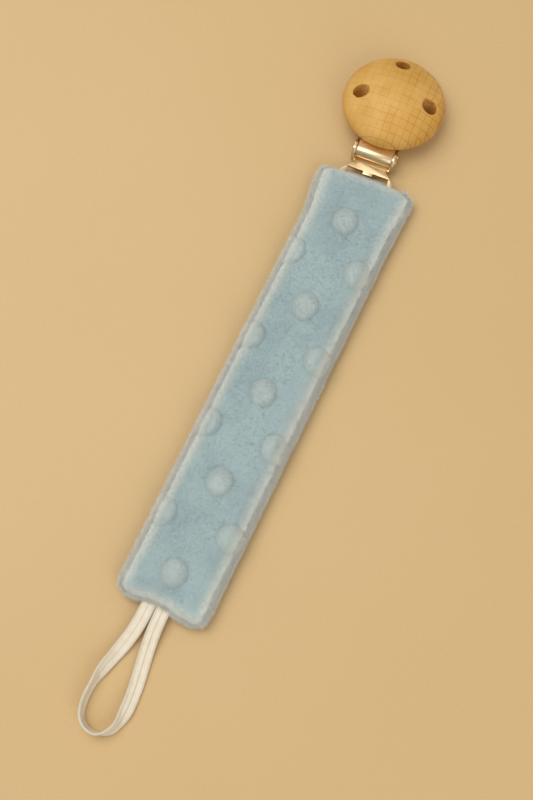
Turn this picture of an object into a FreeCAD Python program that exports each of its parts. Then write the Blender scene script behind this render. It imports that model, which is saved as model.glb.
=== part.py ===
import FreeCAD, Part
import math
import os
import re
import Sketcher

# A soother clip: a padded dotted strap with a wooden dome clip at its upper end
# and an elastic loop for the soother at its lower end, lying flat on a surface.
# X runs across the strap, +Y along it towards the wooden dome, +Z up, millimetres.
# Three frames are used: the strap's, the clip's (at the centre of the slot's
# outer rail) and the lever's (on the hinge pin).

Vector = FreeCAD.Vector
Rotation = FreeCAD.Rotation
Placement = FreeCAD.Placement
ACROSS = Vector(1, 0, 0)
UPWARD = Vector(0, 0, 1)
small = 1e-4

doc = FreeCAD.newDocument("soother_clip")

# ---------------------------------------------------------------- driving sizes
sizes = [
    # padded strap
    ("strap_length", 132.0),
    ("strap_width", 26.4),
    ("strap_height", 6.0),
    ("strap_corner", 4.0),
    ("strap_rounding", 1.6),
    ("seam_allowance", 3.0),
    ("padding_height", 1.2),
    ("padding_slack", 0.6),
    ("thread_radius", 0.2),
    # raised dots of the front cloth
    ("dot_width", 7.2),
    ("dot_rise", 1.4),
    ("dot_pitch", 27.5),
    ("dot_row_offset", 9.2),
    ("first_dot_inset", 12.9),
    ("middle_dots", 5),
    ("side_dots", 4),
    # ribbon tab that holds the clip
    ("tab_width", 11.4),
    ("tab_thickness", 0.45),
    ("tab_depth", 11.0),
    ("tab_taper", 2.6),
    ("rail_clearance", 0.1),
    ("channel_clearance", 0.35),
    # elastic band
    ("band_width", 4.15),
    ("band_thickness", 0.8),
    ("band_gap", 0.1),
    ("tail_depth", 10.0),
    ("band_offset", -0.9),
    ("band_exit_run", 4.0),
    # bar tacks that hold the ribbon and the band
    ("tack_height", 0.3),
    ("tack_width", 0.8),
    ("tack_inset", 4.0),
    # pressed sheet metal of the clip
    ("sheet_thickness", 0.8),
    ("rail_width", 1.4),
    ("slot_length", 12.6),
    ("slot_height", 2.2),
    ("frame_width", 15.8),
    ("shoulder_height", 2.0),
    ("neck_width", 9.8),
    ("neck_start", 4.5),
    ("tongue_width", 2.8),
    ("tongue_length", 1.0),
    ("pin_distance", 7.7),
    ("barrel_lift", 0.1),
    ("pin_radius", 1.1),
    ("pin_head_radius", 1.4),
    ("pin_head_height", 0.45),
    ("pin_head_flat", 0.85),
    ("pin_fit", 0.02),
    ("running_clearance", 0.05),
    ("side_clearance", 0.15),
    ("barrel_length", 10.6),
    ("notch_length", 0.96),
    ("notch_width", 1.44),
    ("curl_mouth_start", 0.46),
    ("ear_reach", 6.0),
    ("ear_margin", 0.55),
    ("ear_crown_share", 0.4),
    ("ear_slope_share", 0.3),
    ("ear_round_share", 0.5),
    ("fold_round", 0.6),
    ("ear_boss_radius", 0.7),
    ("ear_boss_height", 0.35),
    ("ear_boss_distance", 2.25),
    ("ear_boss_level", 1.47),
    ("jaw_width", 10.0),
    ("jaw_reach", 26.2),
    ("jaw_corner", 2.0),
    # ribbed plastic insert in the jaw
    ("insert_width", 9.4),
    ("insert_length", 8.4),
    ("insert_height", 0.8),
    ("insert_margin", 0.4),
    ("rib_height", 0.6),
    ("rib_width", 0.7),
    ("rib_pitch", 1.5),
    ("rib_count", 5),
    ("peg_radius", 0.9),
    ("peg_spacing", 5.0),
    ("jaw_gap", 0.2),
    # wooden dome and the plate under it
    ("dome_radius", 15.0),
    ("dome_crown", 8.0),
    ("dome_skirt", 2.8),
    ("dome_shoulder", 5.0),
    ("dome_distance", 15.9),
    ("plate_reach", 17.8),
    ("plate_corner", 1.75),
    ("recess_clearance", 0.15),
    ("vent_radius", 2.2),
    ("vent_circle_radius", 10.2),
    ("vent_spacing_angle", 100.0),
    ("vent_turn_angle", 7.0),
    ("rivet_radius", 0.8),
    ("rivet_head_radius", 1.4),
    ("rivet_length", 5.0),
    ("rivet_first", 6.0),
    ("rivet_spacing", 8.0),
    ("dimple_radius", 0.45),
    ("dimple_depth", 0.3),
    ("dimple_distance", 2.3),
    # how far a cut runs past the material it cuts
    ("overrun", 1.0),
    # how the clip lies at rest
    ("clip_skew_angle", 5.0),
    ("clip_offset", -1.45),
    ("rail_standoff", 1.6),
]
sheet = doc.addObject("Spreadsheet::Sheet", "Sizes")
for line, (alias, value) in enumerate(sizes, start=1):
    sheet.set("A%d" % line, alias)
    sheet.set("B%d" % line, str(value))
    sheet.setAlias("B%d" % line, alias)
doc.recompute()


# Sizes that follow from the driving ones, by name.
derived = {
    "middle_height": "[strap_height] / 2",
    "padding_side": "[strap_width] / 2 - [seam_allowance]",
    "tunnel_radius": "[rail_width] / 2 + 2 * [rail_clearance]",
    "tab_round": "[tunnel_radius] + [tab_thickness]",
    "taper_angle": "asin([tunnel_radius] / [tab_taper])",
    "taper_end": "[tab_taper] + [tab_thickness] * tan([taper_angle] / 2)",
    "band_reach": "[band_width] + [band_gap] / 2",
    "pin_bore": "[pin_radius] + [running_clearance]",
    "barrel_radius": "[pin_bore] + [sheet_thickness]",
    "pin_height": "[sheet_thickness] / 2 + [barrel_radius] + [barrel_lift]",
    "ear_radius": "[barrel_radius] + [ear_margin]",
    "ear_start": "[pin_distance] - [ear_radius]",
    "ear_end": "[pin_distance] + [ear_reach]",
    "ear_outer": "[barrel_length] / 2 + [side_clearance] + [sheet_thickness]",
    "slot_top": "[rail_width] / 2 + [slot_height]",
    "insert_middle": "[jaw_reach] - [insert_margin] - [insert_length] / 2",
    "insert_floor": "[sheet_thickness] / 2 + [insert_height]",
    "rib_middle": "[insert_middle] - [rib_pitch] * ([rib_count] - 1) / 2",
    "recess_side": "[barrel_length] / 2 + [recess_clearance]",
    "first_vent_angle": "[vent_spacing_angle] + [vent_turn_angle]",
    "shoulder_across": "[dome_radius] - [dome_shoulder]",
    "crown_square": "[shoulder_across]^2 + [dome_crown]^2 - [dome_shoulder]^2",
    "crown_radius": "[crown_square] / (2 * ([dome_crown] - [dome_shoulder]))",
    "crown_middle": "[dome_skirt] + [dome_crown] - [crown_radius]",
    "meeting_share": "[crown_radius] / ([crown_radius] - [dome_shoulder])",
}


def bound(text):
    """Each name in brackets becomes its cell in the sheet, or what it is derived from."""
    def cell(found):
        name = found.group(1)
        if name in derived:
            return "(" + bound(derived[name]) + ")"
        return "Sizes." + name
    return re.sub(r"\[(\w+)\]", cell, text)


def size(name):
    return float(sheet.evalExpression(bound("[" + name + "]")))


# ------------------------------------------------------------- modelling helpers
def new_body(label):
    body = doc.addObject("PartDesign::Body", label)
    body.Label = label
    return body


def sketch_on(body, name, role, offset=None):
    sketch = body.newObject("Sketcher::SketchObject", name)
    plane = [item for item in body.Origin.OriginFeatures if item.Role == role][0]
    sketch.AttachmentSupport = [(plane, "")]
    sketch.MapMode = "FlatFace"
    if offset:
        sketch.setExpression("AttachmentOffset.Base.z", bound(offset))
    return sketch


def hold(sketch, kind, where, text):
    """Adds a dimension to the sketch and binds it to the sheet."""
    text = bound(text)
    value = float(sketch.evalExpression(text))
    index = sketch.addConstraint(Sketcher.Constraint(kind, *where, value))
    sketch.setExpression("Constraints[%d]" % index, text)


def arc_between(start, end, radius):
    """An arc that goes round to the right of the way from start to end."""
    chord = end - start
    half_chord = chord.Length / 2
    sagitta = radius - math.sqrt(radius * radius - half_chord * half_chord)
    right = Vector(chord.y, -chord.x, 0).normalize()
    return Part.Arc(start, (start + end) / 2 + right * sagitta, end)


def outline(sketch, corners):
    """A closed outline through corners given as expressions. An edge is an arc
    where its first corner has a radius too, and straight elsewhere."""
    points = []
    for corner in corners:
        x = float(sketch.evalExpression(bound(corner[0])))
        y = float(sketch.evalExpression(bound(corner[1])))
        points.append(Vector(x, y, 0))
    first = sketch.GeometryCount
    count = len(points)
    for here, corner in enumerate(corners):
        following = points[(here + 1) % count]
        if len(corner) == 3:
            radius = float(sketch.evalExpression(bound(corner[2])))
            sketch.addGeometry(arc_between(points[here], following, radius))
        else:
            sketch.addGeometry(Part.LineSegment(points[here], following))
    for here in range(count):
        following = first + (here + 1) % count
        sketch.addConstraint(Sketcher.Constraint("Coincident", first + here, 2, following, 1))
    for here, corner in enumerate(corners):
        hold(sketch, "DistanceX", (-1, 1, first + here, 1), corner[0])
        hold(sketch, "DistanceY", (-1, 1, first + here, 1), corner[1])
        if len(corner) == 3:
            hold(sketch, "Radius", (first + here,), corner[2])


def rectangle(sketch, left, right, low, high):
    outline(sketch, [(left, low), (right, low), (right, high), (left, high)])


def circle(sketch, across, along, radius):
    x = float(sketch.evalExpression(bound(across)))
    y = float(sketch.evalExpression(bound(along)))
    r = float(sketch.evalExpression(bound(radius)))
    index = sketch.addGeometry(Part.Circle(Vector(x, y, 0), UPWARD, r))
    hold(sketch, "Radius", (index,), radius)
    hold(sketch, "DistanceX", (-1, 1, index, 3), across)
    hold(sketch, "DistanceY", (-1, 1, index, 3), along)


def pad(body, sketch, length, middle=False, backward=False):
    feature = body.newObject("PartDesign::Pad", sketch.Name + "_pad")
    feature.Profile = sketch
    feature.setExpression("Length", bound(length))
    feature.Midplane = middle
    feature.Reversed = backward
    doc.recompute()
    return feature


def pocket(body, sketch, length, middle=False, backward=False):
    before = body.Shape.Volume
    feature = body.newObject("PartDesign::Pocket", sketch.Name + "_cut")
    feature.Profile = sketch
    feature.setExpression("Length", bound(length))
    feature.Midplane = middle
    feature.Reversed = backward
    doc.recompute()
    if body.Shape.Volume > before - small:
        raise RuntimeError(feature.Name + " cuts nothing")
    return feature


def revolve(body, sketch, axis_role):
    feature = body.newObject("PartDesign::Revolution", sketch.Name + "_turn")
    feature.Profile = sketch
    axis = [item for item in body.Origin.OriginFeatures if item.Role == axis_role][0]
    feature.ReferenceAxis = (axis, [""])
    feature.Angle = 360
    doc.recompute()
    return feature


def pick(feature, chosen):
    """Names of the feature's edges whose middle point passes the test."""
    names = []
    for number, edge in enumerate(feature.Shape.Edges, start=1):
        middle = edge.valueAt((edge.FirstParameter + edge.LastParameter) / 2)
        if chosen(edge, middle):
            names.append("Edge%d" % number)
    if not names:
        raise RuntimeError("no edge chosen on " + feature.Name)
    return names


def fillet(body, base, chosen, radius):
    feature = body.newObject("PartDesign::Fillet", base.Name + "_round")
    feature.Base = (base, pick(base, chosen))
    feature.setExpression("Radius", bound(radius))
    doc.recompute()
    return feature


def row_of(body, feature, role, count, length, backward=False):
    pattern = body.newObject("PartDesign::LinearPattern", feature.Name + "_row")
    pattern.Originals = [feature]
    axis = [item for item in body.Origin.OriginFeatures if item.Role == role][0]
    pattern.Direction = (axis, [""])
    pattern.Reversed = backward
    pattern.setExpression("Length", bound(length))
    pattern.setExpression("Occurrences", bound(count))
    body.Tip = pattern
    doc.recompute()
    return pattern


def upright(edge):
    """True for a straight edge that runs along Z."""
    if not isinstance(edge.Curve, Part.Line):
        return False
    return abs(edge.Curve.Direction.z) > 0.999


# ------------------------------------------------------------------ the layout
# The lower jaw's tip rests on the surface and the rail is held at half the
# strap's height, so the clip lies nose down. The lever closes on the insert.
half_sheet = size("sheet_thickness") / 2
insert_top = size("insert_floor") + size("rib_height")
clip_tilt = math.degrees(math.asin((size("middle_height") - half_sheet) / size("jaw_reach")))
closing_drop = size("pin_height") + size("pin_bore") - insert_top - size("jaw_gap")
lever_tilt = math.degrees(math.asin(closing_drop / size("plate_reach")))

# The overall box sets the origin: its middle in X and Y, its floor in Z.
skew = math.radians(size("clip_skew_angle"))
nose_tilt = math.radians(clip_tilt)
dome_tilt = math.radians(clip_tilt + lever_tilt)
equator_height = size("pin_bore") + size("dome_skirt")
dome_along = size("pin_distance") * math.cos(nose_tilt) + size("pin_height") * math.sin(nose_tilt)
dome_along += size("dome_distance") * math.cos(dome_tilt) + equator_height * math.sin(dome_tilt)
dome_x = size("clip_offset") - dome_along * math.sin(skew)
dome_y = size("rail_standoff") + dome_along * math.cos(skew)
dome_end = dome_y + size("dome_radius") * math.cos(dome_tilt)
box_left = min(dome_x - size("dome_radius"), -size("strap_width") / 2)
box_right = max(dome_x + size("dome_radius"), size("strap_width") / 2)
strap_x = -(box_left + box_right) / 2
strap_y = -(dome_end - size("strap_length")) / 2

# Strap frame: on the surface, at the middle of the strap's upper end.
strap_place = Placement(Vector(strap_x, strap_y, 0), Rotation())
rail_x = strap_x + size("clip_offset")
rail_point = Vector(rail_x, strap_y + size("rail_standoff"), size("middle_height"))
skew_turn = Rotation(UPWARD, size("clip_skew_angle"))
tab_place = Placement(rail_point, skew_turn)
clip_place = Placement(rail_point, skew_turn * Rotation(ACROSS, -clip_tilt))
pin_point = Vector(0, size("pin_distance"), size("pin_height"))
lever_place = clip_place * Placement(pin_point, Rotation(ACROSS, -lever_tilt))
parts = []


def keep(part, label, place):
    part.Label = label
    part.Placement = place
    parts.append(part)


# --------------------------------------------------------------- padded strap
def strap_slab(label, backward):
    """One cloth panel, from the middle seam to its outer face."""
    body = new_body(label)
    plan = sketch_on(body, label + "_plan", "XY_Plane", "[middle_height]")
    rectangle(plan, "-[strap_width] / 2", "[strap_width] / 2", "-[strap_length]", "0")
    slab = pad(body, plan, "[middle_height]", backward=backward)
    slab = fillet(body, slab, lambda edge, middle: upright(edge), "[strap_corner]")
    face_height = 0 if backward else size("strap_height")
    slab = fillet(body, slab, lambda edge, middle: abs(middle.z - face_height) < small, "[strap_rounding]")
    return body


def strap_hollows(body, label, upwards):
    """Room at the middle seam for the padding, the ribbon tab and the elastic."""
    room = sketch_on(body, label + "_padding", "XY_Plane", "[middle_height]")
    low = "-[strap_length] + [seam_allowance]"
    rectangle(room, "-[padding_side]", "[padding_side]", low, "-[seam_allowance]")
    pocket(body, room, "[padding_height] / 2", backward=upwards)
    tab = sketch_on(body, label + "_tab", "XY_Plane", "[middle_height]")
    side = "([tab_width] / 2 + [channel_clearance] + [tab_depth] * tan([clip_skew_angle] * 1 deg))"
    rectangle(
        tab,
        "[clip_offset] - " + side,
        "[clip_offset] + " + side,
        "-[tab_depth] - [channel_clearance] + [rail_standoff]",
        "[strap_rounding]",
    )
    pocket(body, tab, "[tab_round] + [rail_clearance]", backward=upwards)
    band = sketch_on(body, label + "_band", "XY_Plane", "[middle_height]")
    rectangle(
        band,
        "[band_offset] - [band_reach] - [channel_clearance]",
        "[band_offset] + [band_reach] + [channel_clearance]",
        "-[strap_length] - [strap_rounding]",
        "-[strap_length] + [tail_depth] + [channel_clearance]",
    )
    pocket(body, band, "[band_thickness] / 2 + [tack_height] + [running_clearance]", backward=upwards)


front_panel = strap_slab("front_panel", backward=False)
strap_hollows(front_panel, "front", upwards=True)


def dot_row(name, across, first, count):
    """A row of raised dots down the front cloth."""
    dot = front_panel.newObject("PartDesign::AdditiveEllipsoid", name)
    plane = [item for item in front_panel.Origin.OriginFeatures if item.Role == "XY_Plane"][0]
    dot.AttachmentSupport = [(plane, "")]
    dot.MapMode = "FlatFace"
    dot.setExpression("AttachmentOffset.Base.x", bound(across))
    dot.setExpression("AttachmentOffset.Base.y", bound(first))
    dot.setExpression("AttachmentOffset.Base.z", bound("[strap_height]"))
    dot.setExpression("Radius1", bound("[dot_rise]"))
    dot.setExpression("Radius2", bound("[dot_width] / 2"))
    dot.Radius3 = 0
    doc.recompute()
    row_of(front_panel, dot, "Y_Axis", count, "[dot_pitch] * (" + count + " - 1)", backward=True)


dot_row("middle_dot", "0", "-[first_dot_inset]", "[middle_dots]")
dot_row("left_dot", "-[dot_row_offset]", "-[first_dot_inset] - [dot_pitch] / 2", "[side_dots]")
dot_row("right_dot", "[dot_row_offset]", "-[first_dot_inset] - [dot_pitch] / 2", "[side_dots]")
keep(front_panel, "front_panel", strap_place)

back_panel = strap_slab("back_panel", backward=True)
strap_hollows(back_panel, "back", upwards=False)
keep(back_panel, "back_panel", strap_place)

padding = new_body("padding")
padding_plan = sketch_on(padding, "padding_plan", "XY_Plane", "[middle_height]")
rectangle(
    padding_plan,
    "-[padding_side] + [padding_slack]",
    "[padding_side] - [padding_slack]",
    "-[strap_length] + [tail_depth] + [padding_slack]",
    "-[tab_depth] - [padding_slack]",
)
pad(padding, padding_plan, "[padding_height]", middle=True)
keep(padding, "padding", strap_place)


def thread_rod(name, side):
    """The seam's thread along one long edge, between the padding and the seam."""
    rod = doc.addObject("Part::Cylinder", name)
    rod.setExpression("Radius", bound("[thread_radius]"))
    rod.setExpression("Height", bound("[strap_length] - 2 * [seam_allowance] - 2 * [padding_slack]"))
    across = bound("[padding_side] - [padding_slack] / 2")
    rod.Placement = Placement(Vector(), Rotation(ACROSS, 90))
    rod.setExpression("Placement.Base.x", "%d * (%s)" % (side, across))
    rod.setExpression("Placement.Base.y", bound("-[seam_allowance] - [padding_slack]"))
    rod.setExpression("Placement.Base.z", bound("[middle_height]"))
    return rod


def group(label, members, place):
    """Several separate solids that are one sub-part."""
    fused = doc.addObject("Part::MultiFuse", label)
    fused.Shapes = members
    doc.recompute()
    keep(fused, label, place)


group("seam_threads", [thread_rod("left_thread", -1), thread_rod("right_thread", 1)], strap_place)


def slab_box(name, left, width, low, depth, floor, height):
    """A plain block with its corner and its three sizes bound to the sheet."""
    block = doc.addObject("Part::Box", name)
    block.setExpression("Length", bound(width))
    block.setExpression("Width", bound(depth))
    block.setExpression("Height", bound(height))
    block.setExpression("Placement.Base.x", bound(left))
    block.setExpression("Placement.Base.y", bound(low))
    block.setExpression("Placement.Base.z", bound(floor))
    return block


# The elastic's two ends, side by side in the lower end's seam.
tail_floor = "[middle_height] - [band_thickness] / 2"
tails = [
    slab_box("left_tail", "[band_offset] - [band_reach]", "[band_width]",
             "-[strap_length]", "[tail_depth]", tail_floor, "[band_thickness]"),
    slab_box("right_tail", "[band_offset] + [band_gap] / 2", "[band_width]",
             "-[strap_length]", "[tail_depth]", tail_floor, "[band_thickness]"),
]
group("elastic_tails", tails, strap_place)


def bar_tacks(label, left, width, low, half_stack, place, middle_height):
    """A bar of stitches on the upper and on the lower face of what it holds."""
    above = slab_box(label + "_above", left, width, low, "[tack_width]",
                     middle_height + " + " + half_stack, "[tack_height]")
    below = slab_box(label + "_below", left, width, low, "[tack_width]",
                     middle_height + " - " + half_stack + " - [tack_height]", "[tack_height]")
    group(label, [above, below], place)


bar_tacks("loop_stitches", "[band_offset] - [band_reach]",
          "2 * [band_reach]", "-[strap_length] + [tack_inset]",
          "[band_thickness] / 2", strap_place, "[middle_height]")
bar_tacks("tab_stitches", "-[tab_width] / 2", "[tab_width]",
          "-[tab_depth] + [tack_inset] - [tack_width]", "[tab_thickness]", tab_place, "0")

# Ribbon tab: round the rail, then two layers together into the strap. The
# inner and outer faces run from the round part at the taper's angle.
clip_tab = new_body("clip_tab")
ring_sketch = sketch_on(clip_tab, "tab_ring", "YZ_Plane")
circle(ring_sketch, "0", "0", "[tab_round]")
pad(clip_tab, ring_sketch, "[tab_width]", middle=True)
wedge_sketch = sketch_on(clip_tab, "tab_wedge", "YZ_Plane")
outline(wedge_sketch, [
    ("-[tab_round] * sin([taper_angle])", "[tab_round] * cos([taper_angle])"),
    ("-[taper_end]", "[tab_thickness]"),
    ("-[tab_depth]", "[tab_thickness]"),
    ("-[tab_depth]", "-[tab_thickness]"),
    ("-[taper_end]", "-[tab_thickness]"),
    ("-[tab_round] * sin([taper_angle])", "-[tab_round] * cos([taper_angle])"),
])
pad(clip_tab, wedge_sketch, "[tab_width]", middle=True)
bore_sketch = sketch_on(clip_tab, "tab_tunnel", "YZ_Plane")
circle(bore_sketch, "0", "0", "[tunnel_radius]")
pocket(clip_tab, bore_sketch, "[tab_width] * 2", middle=True)
apex_sketch = sketch_on(clip_tab, "tab_apex", "YZ_Plane")
outline(apex_sketch, [
    ("-[tab_taper]", "0"),
    ("-[tunnel_radius] * sin([taper_angle])", "-[tunnel_radius] * cos([taper_angle])"),
    ("-[tunnel_radius] * sin([taper_angle])", "[tunnel_radius] * cos([taper_angle])"),
])
pocket(clip_tab, apex_sketch, "[tab_width] * 2", middle=True)
keep(clip_tab, "clip_tab", tab_place)

# ------------------------------------------------------- clip frame, lower jaw
base_frame = new_body("base_frame")
plate_plan = sketch_on(base_frame, "frame_plan", "XY_Plane")
half_outline = [
    ("[frame_width] / 2", "-[rail_width] / 2"),
    ("[frame_width] / 2", "[shoulder_height]"),
    ("[neck_width] / 2", "[neck_start]"),
    ("[neck_width] / 2", "[ear_start]"),
    ("[ear_outer]", "[ear_start]"),
    ("[ear_outer]", "[ear_end]"),
    ("[jaw_width] / 2", "[ear_end] + [sheet_thickness]"),
    ("[jaw_width] / 2", "[jaw_reach]"),
]
other_half = [("-" + across, along) for across, along in reversed(half_outline)]
outline(plate_plan, half_outline + other_half)
frame_plate = pad(base_frame, plate_plan, "[sheet_thickness]", middle=True)
frame_side = size("frame_width") / 2
neck_side = size("neck_width") / 2


def shoulder_edge(edge, middle):
    beside_slot = abs(abs(middle.x) - frame_side) < small
    beside_neck = abs(abs(middle.x) - neck_side) < small and middle.y < size("neck_start") + small
    return upright(edge) and (beside_slot or beside_neck)


frame_plate = fillet(base_frame, frame_plate, shoulder_edge, "[rail_width]")
frame_plate = fillet(
    base_frame,
    frame_plate,
    lambda edge, middle: upright(edge) and middle.y > size("jaw_reach") - small,
    "[jaw_corner]",
)
slot_sketch = sketch_on(base_frame, "strap_slot", "XY_Plane")
outline(slot_sketch, [
    ("-[slot_length] / 2", "[rail_width] / 2"),
    ("[slot_length] / 2", "[rail_width] / 2"),
    ("[slot_length] / 2", "[slot_top]"),
    ("[tongue_width] / 2", "[slot_top]"),
    ("[tongue_width] / 2", "[slot_top] - [tongue_length]"),
    ("-[tongue_width] / 2", "[slot_top] - [tongue_length]"),
    ("-[tongue_width] / 2", "[slot_top]"),
    ("-[slot_length] / 2", "[slot_top]"),
])
pocket(base_frame, slot_sketch, "[sheet_thickness] * 2", middle=True)

ear_faces = {"left_ear": "-[ear_outer]", "right_ear": "[ear_outer] - [sheet_thickness]"}
for ear_name, ear_face in ear_faces.items():
    ear = sketch_on(base_frame, ear_name, "YZ_Plane", ear_face)
    outline(ear, [
        ("[ear_start]", "-[sheet_thickness] / 2"),
        ("[ear_start]", "[pin_height] + [ear_radius] * [ear_crown_share]"),
        ("[pin_distance] - [ear_radius] * [ear_crown_share]", "[pin_height] + [ear_radius]"),
        ("[pin_distance] + [ear_radius] * [ear_crown_share]", "[pin_height] + [ear_radius]"),
        ("[pin_distance] + [ear_radius]", "[pin_height] + [ear_radius] * [ear_slope_share]"),
        ("[ear_end]", "[pin_height] / 2"),
        ("[ear_end]", "-[sheet_thickness] / 2"),
    ])
    ear_pad = pad(base_frame, ear, "[sheet_thickness]")
ear_pad = fillet(
    base_frame,
    ear_pad,
    lambda edge, middle: abs(edge.tangentAt(edge.FirstParameter).x) > 0.99
    and middle.z > size("pin_height") + small,
    "[ear_radius] * [ear_round_share]",
)
ear_pad = fillet(
    base_frame,
    ear_pad,
    lambda edge, middle: abs(edge.tangentAt(edge.FirstParameter).y) > 0.99
    and abs(middle.z + half_sheet) < small
    and abs(middle.x) > size("ear_outer") - half_sheet
    and middle.y > size("ear_start"),
    "[fold_round]",
)
bosses = sketch_on(base_frame, "ear_bosses", "YZ_Plane")
circle(bosses, "[pin_distance] + [ear_boss_distance]", "[ear_boss_level]", "[ear_boss_radius]")
boss_width = "2 * ([ear_outer] + [ear_boss_height])"
boss_pad = pad(base_frame, bosses, boss_width, middle=True)
clear_between = sketch_on(base_frame, "between_ears", "YZ_Plane")
rectangle(
    clear_between,
    "[ear_start] - [overrun]",
    "[ear_end] + [overrun]",
    "[sheet_thickness] / 2",
    "[pin_height] + [ear_radius] + [overrun]",
)
pocket(base_frame, clear_between, "[barrel_length] + 2 * [side_clearance]", middle=True)
pin_bores = sketch_on(base_frame, "pin_bores", "YZ_Plane")
circle(pin_bores, "[pin_distance]", "[pin_height]", "[pin_radius] + [pin_fit]")
pocket(base_frame, pin_bores, boss_width, middle=True)
peg_holes = sketch_on(base_frame, "peg_holes", "XY_Plane")
for side in ("-", ""):
    circle(peg_holes, side + "[peg_spacing] / 2", "[insert_middle]", "[peg_radius] + [pin_fit]")
pocket(base_frame, peg_holes, "[sheet_thickness] * 2", middle=True)
keep(base_frame, "base_frame", clip_place)

# Riveted hinge pin: a shank through both ears with a head outside each.
hinge_pin = new_body("hinge_pin")
pin_sketch = sketch_on(hinge_pin, "pin_half", "XY_Plane")
pin_half = [
    ("[ear_outer] + [pin_fit]", "[pin_radius]"),
    ("[ear_outer] + [pin_fit]", "[pin_head_radius]"),
    ("[ear_outer] + [pin_head_height] / 2", "[pin_head_radius]"),
    ("[ear_outer] + [pin_head_height]", "[pin_head_flat]"),
    ("[ear_outer] + [pin_head_height]", "0"),
]
mirrored_half = [("-(" + across + ")", along) for across, along in reversed(pin_half)]
outline(pin_sketch, mirrored_half + pin_half)
revolve(hinge_pin, pin_sketch, "X_Axis")
keep(hinge_pin, "hinge_pin", clip_place * Placement(pin_point, Rotation()))

# Plastic insert on the lower jaw: a pad with cross ribs and two pegs.
grip_insert = new_body("grip_insert")
insert_plan = sketch_on(grip_insert, "insert_plan", "XY_Plane", "[sheet_thickness] / 2")
rectangle(
    insert_plan,
    "-[insert_width] / 2",
    "[insert_width] / 2",
    "[insert_middle] - [insert_length] / 2",
    "[insert_middle] + [insert_length] / 2",
)
insert_pad = pad(grip_insert, insert_plan, "[insert_height]")
fillet(grip_insert, insert_pad, lambda edge, middle: upright(edge), "[rib_width]")
peg_sketch = sketch_on(grip_insert, "insert_pegs", "XY_Plane", "[sheet_thickness] / 2")
for side in ("-", ""):
    circle(peg_sketch, side + "[peg_spacing] / 2", "[insert_middle]", "[peg_radius]")
pad(grip_insert, peg_sketch, "[sheet_thickness]", backward=True)
rib_sketch = sketch_on(grip_insert, "first_rib", "YZ_Plane")
outline(rib_sketch, [
    ("[rib_middle] - [rib_width] / 2", "[insert_floor]"),
    ("[rib_middle] + [rib_width] / 2", "[insert_floor]"),
    ("[rib_middle] + [rib_width] / 6", "[insert_floor] + [rib_height]"),
    ("[rib_middle] - [rib_width] / 6", "[insert_floor] + [rib_height]"),
])
first_rib = pad(grip_insert, rib_sketch, "[insert_width] - 2 * [rib_width]", middle=True)
row_of(grip_insert, first_rib, "Y_Axis", "[rib_count]", "[rib_pitch] * ([rib_count] - 1)")
keep(grip_insert, "grip_insert", clip_place)

# ------------------------------------------------------------ lever and dome
# Upper plate, in the lever's frame: a barrel curled round the pin, and a flat
# tongue that leaves the barrel's top and lies in the dome's recess.
top_plate = new_body("top_plate")
curl_sketch = sketch_on(top_plate, "curl", "YZ_Plane")
circle(curl_sketch, "0", "0", "[barrel_radius]")
pad(top_plate, curl_sketch, "[barrel_length]", middle=True)
tongue_sketch = sketch_on(top_plate, "tongue", "YZ_Plane")
rectangle(tongue_sketch, "0", "[plate_reach]", "[pin_bore]", "[barrel_radius]")
plate_pad = pad(top_plate, tongue_sketch, "[barrel_length]", middle=True)
plate_pad = fillet(
    top_plate,
    plate_pad,
    lambda edge, middle: upright(edge) and middle.y > size("plate_reach") - small,
    "[plate_corner]",
)
curl_bore = sketch_on(top_plate, "curl_bore", "YZ_Plane")
circle(curl_bore, "0", "0", "[pin_bore]")
pocket(top_plate, curl_bore, "[barrel_length] * 2", middle=True)
curl_mouth = sketch_on(top_plate, "curl_mouth", "YZ_Plane")
rectangle(curl_mouth, "[curl_mouth_start]", "[barrel_radius] + [overrun]", "0", "[pin_bore]")
pocket(top_plate, curl_mouth, "[barrel_length] * 2", middle=True)
notches = sketch_on(top_plate, "barrel_notches", "XZ_Plane")
for side in ("-", ""):
    outer_edge = side + "([barrel_length] / 2 + [overrun])"
    inner_edge = side + "([barrel_length] / 2 - [notch_length])"
    rectangle(notches, inner_edge, outer_edge, "-[notch_width] / 2", "[notch_width] / 2")
pocket(top_plate, notches, "[barrel_radius] + [overrun]")
dimple = sketch_on(top_plate, "dimple", "XY_Plane", "[barrel_radius] - [dimple_depth]")
circle(dimple, "0", "[dimple_distance]", "[dimple_radius]")
pocket(top_plate, dimple, "[dimple_depth] * 3", backward=True)
rivet_holes = sketch_on(top_plate, "rivet_holes", "XY_Plane", "[pin_bore]")
for place_along in ("[rivet_first]", "[rivet_first] + [rivet_spacing]"):
    circle(rivet_holes, "0", place_along, "[rivet_head_radius] + [pin_fit]")
pocket(top_plate, rivet_holes, "[sheet_thickness] * 2", middle=True)
keep(top_plate, "top_plate", lever_place)

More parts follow.
